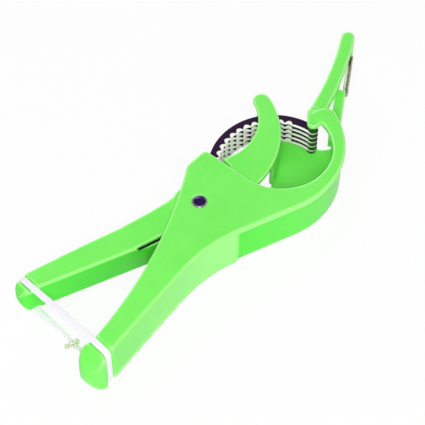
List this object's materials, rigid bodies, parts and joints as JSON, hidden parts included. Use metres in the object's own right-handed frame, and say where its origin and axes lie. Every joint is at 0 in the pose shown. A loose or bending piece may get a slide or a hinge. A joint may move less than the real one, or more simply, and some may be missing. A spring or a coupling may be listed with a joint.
{
  "type": "plier vegetable cutter with peeler",
  "caption": "Plier-shaped hand cutter: a pusher lever presses vegetables through a stack of arc blades in a hooked head, with a swivel peeler at the tip and a band round the handles.",
  "frame": {"origin": "on the lever's pivot axis, at the flat back face that the tool rests on", "axes": "+X from the pivot towards the cutting head, +Z along the pivot from the back shell to the front plate, +Y to the open side of the mouth"},
  "size_m": [0.2402, 0.0812, 0.0266],
  "materials": {
    "green_plastic": "satin moulded plastic",
    "post_plastic": "moulded plastic",
    "blade_steel": "ground steel",
    "pin_steel": "turned steel",
    "rivet_steel": "dark polished steel",
    "spring_steel": "dark spring wire",
    "band_rubber": "soft white elastic"
  },
  "bodies": {
    "shell": {"front_shell": "green_plastic", "back_shell": "green_plastic", "slicing_blade_1": "blade_steel", "slicing_blade_2": "blade_steel", "slicing_blade_3": "blade_steel", "slicing_blade_4": "blade_steel", "slicing_blade_5": "blade_steel", "blade_pin_tip": "pin_steel", "blade_pin_root": "pin_steel", "root_spacers": "post_plastic", "tip_post": "post_plastic", "pivot_sleeve": "pin_steel", "pivot_rivet": "rivet_steel", "pivot_washer": "pin_steel", "shell_screws": "pin_steel", "return_spring": "spring_steel", "retaining_band": "band_rubber"},
    "lever": {"pusher_lever": "green_plastic"},
    "peeler": {"peeler_blade": "blade_steel"}
  },
  "joints": [
    {"name": "lever_pivot", "type": "hinge", "parent": "shell", "child": "lever", "pos_m": [0, 0, 0], "axis": [0, 0, 1], "range_deg": [-14, 8], "stiffness_Nm_per_rad": 0.4, "deforming": ["return_spring", "retaining_band"]},
    {"name": "peeler_swivel", "type": "hinge", "parent": "shell", "child": "peeler", "pos_m": [0.1075, -0.004, 0.0116], "axis": [0.8572, 0.515, 0], "range_deg": [-30, 30]}
  ]
}
